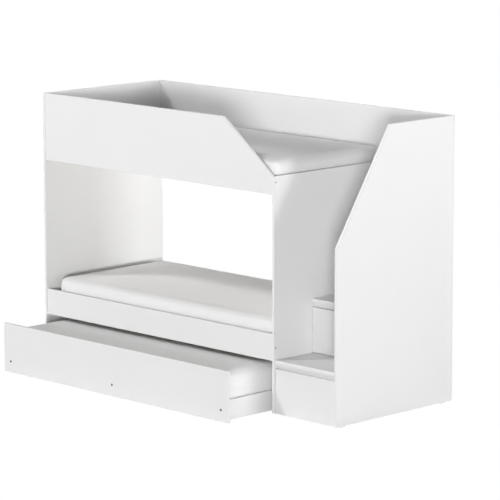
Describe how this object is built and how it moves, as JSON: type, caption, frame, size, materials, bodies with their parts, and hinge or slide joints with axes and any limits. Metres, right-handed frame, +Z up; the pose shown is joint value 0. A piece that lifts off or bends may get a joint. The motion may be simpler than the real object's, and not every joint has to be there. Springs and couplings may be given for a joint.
{
  "type": "bunk bed with storage stairs",
  "caption": "Bunk bed of flat white boards with a sloped front guard, a staircase whose risers are drawers, and a roll-out bed on casters under the lower bunk.",
  "frame": {"origin": "on the floor, at the middle of the plan of the whole bed with the roll-out bed where the picture shows it", "axes": "+X along the bed from the left end to the stairs, +Y from the front to the back, +Z up"},
  "size_m": [2.429, 1.304, 1.649],
  "materials": {
    "white_board": "white melamine-faced particle board, satin",
    "pine": "planed pine",
    "hardboard": "thin hardboard, white-faced",
    "mattress_cover": "white knitted cover",
    "zinc_steel": "zinc-plated",
    "screw_steel": "plated, dull",
    "wheel_nylon": "moulded nylon",
    "white_plastic": "moulded, satin"
  },
  "bodies": {
    "frame": {"fixed_runners": "zinc_steel", "floor_glides": "white_plastic", "left_end_panel": "white_board", "lower_back_rail": "white_board", "lower_cleats": "pine", "lower_front_rail": "white_board", "lower_mattress": "mattress_cover", "lower_slats": "pine", "panel_screws": "screw_steel", "partition_panel": "white_board", "stair_back_sheet": "hardboard", "stair_cross_rail_1": "white_board", "stair_cross_rail_2": "white_board", "stair_cross_rail_3": "white_board", "stair_outer_panel": "white_board", "stair_rear_brace": "white_board", "stair_tread_1": "white_board", "stair_tread_2": "white_board", "stair_tread_3": "white_board", "tread_brackets": "white_plastic", "upper_back_guard": "white_board", "upper_cleats": "pine", "upper_front_guard": "white_board", "upper_mattress": "mattress_cover", "upper_slats": "pine"},
    "lower_drawer": {"lower_drawer_back": "white_board", "lower_drawer_bottom": "hardboard", "lower_drawer_front": "white_board", "lower_drawer_left_side": "white_board", "lower_drawer_right_side": "white_board", "lower_drawer_runners": "zinc_steel"},
    "middle_drawer": {"middle_drawer_back": "white_board", "middle_drawer_bottom": "hardboard", "middle_drawer_front": "white_board", "middle_drawer_left_side": "white_board", "middle_drawer_right_side": "white_board", "middle_drawer_runners": "zinc_steel"},
    "upper_drawer": {"upper_drawer_back": "white_board", "upper_drawer_bottom": "hardboard", "upper_drawer_front": "white_board", "upper_drawer_left_side": "white_board", "upper_drawer_right_side": "white_board", "upper_drawer_runners": "zinc_steel"},
    "trundle": {"caster_axles": "zinc_steel", "caster_brackets": "zinc_steel", "trundle_back_rail": "white_board", "trundle_centre_rail": "white_board", "trundle_cleats": "pine", "trundle_front_panel": "white_board", "trundle_front_screws": "screw_steel", "trundle_left_rail": "white_board", "trundle_mattress": "mattress_cover", "trundle_right_rail": "white_board", "trundle_slats": "pine"},
    "wheel_centre": {"caster_wheel_centre": "wheel_nylon"},
    "wheel_front_left": {"caster_wheel_front_left": "wheel_nylon"},
    "wheel_front_right": {"caster_wheel_front_right": "wheel_nylon"},
    "wheel_rear_left": {"caster_wheel_rear_left": "wheel_nylon"},
    "wheel_rear_right": {"caster_wheel_rear_right": "wheel_nylon"}
  },
  "joints": [
    {"name": "trundle_slide", "type": "slide", "parent": "frame", "child": "trundle", "axis": [0, -1, 0], "range_m": [-0.347, 0.433]},
    {"name": "lower_drawer_slide", "type": "slide", "parent": "frame", "child": "lower_drawer", "axis": [0, -1, 0], "range_m": [0, 0.45]},
    {"name": "middle_drawer_slide", "type": "slide", "parent": "frame", "child": "middle_drawer", "axis": [0, -1, 0], "range_m": [0, 0.41]},
    {"name": "upper_drawer_slide", "type": "slide", "parent": "frame", "child": "upper_drawer", "axis": [0, -1, 0], "range_m": [0, 0.225]},
    {"name": "wheel_front_left_spin", "type": "hinge", "parent": "trundle", "child": "wheel_front_left", "pos_m": [-1.1195, -0.577, 0.025], "axis": [1, 0, 0], "continuous": true},
    {"name": "wheel_front_right_spin", "type": "hinge", "parent": "trundle", "child": "wheel_front_right", "pos_m": [0.6405, -0.577, 0.025], "axis": [1, 0, 0], "continuous": true},
    {"name": "wheel_rear_left_spin", "type": "hinge", "parent": "trundle", "child": "wheel_rear_left", "pos_m": [-1.1195, 0.093, 0.025], "axis": [1, 0, 0], "continuous": true},
    {"name": "wheel_rear_right_spin", "type": "hinge", "parent": "trundle", "child": "wheel_rear_right", "pos_m": [0.6405, 0.093, 0.025], "axis": [1, 0, 0], "continuous": true},
    {"name": "wheel_centre_spin", "type": "hinge", "parent": "trundle", "child": "wheel_centre", "pos_m": [-0.22, -0.242, 0.025], "axis": [1, 0, 0], "continuous": true}
  ],
  "couplings": [
    {"joint": "wheel_front_left_spin", "follows": "trundle_slide", "rad_per_m": 40},
    {"joint": "wheel_front_right_spin", "follows": "trundle_slide", "rad_per_m": 40},
    {"joint": "wheel_rear_left_spin", "follows": "trundle_slide", "rad_per_m": 40},
    {"joint": "wheel_rear_right_spin", "follows": "trundle_slide", "rad_per_m": 40},
    {"joint": "wheel_centre_spin", "follows": "trundle_slide", "rad_per_m": 40}
  ]
}
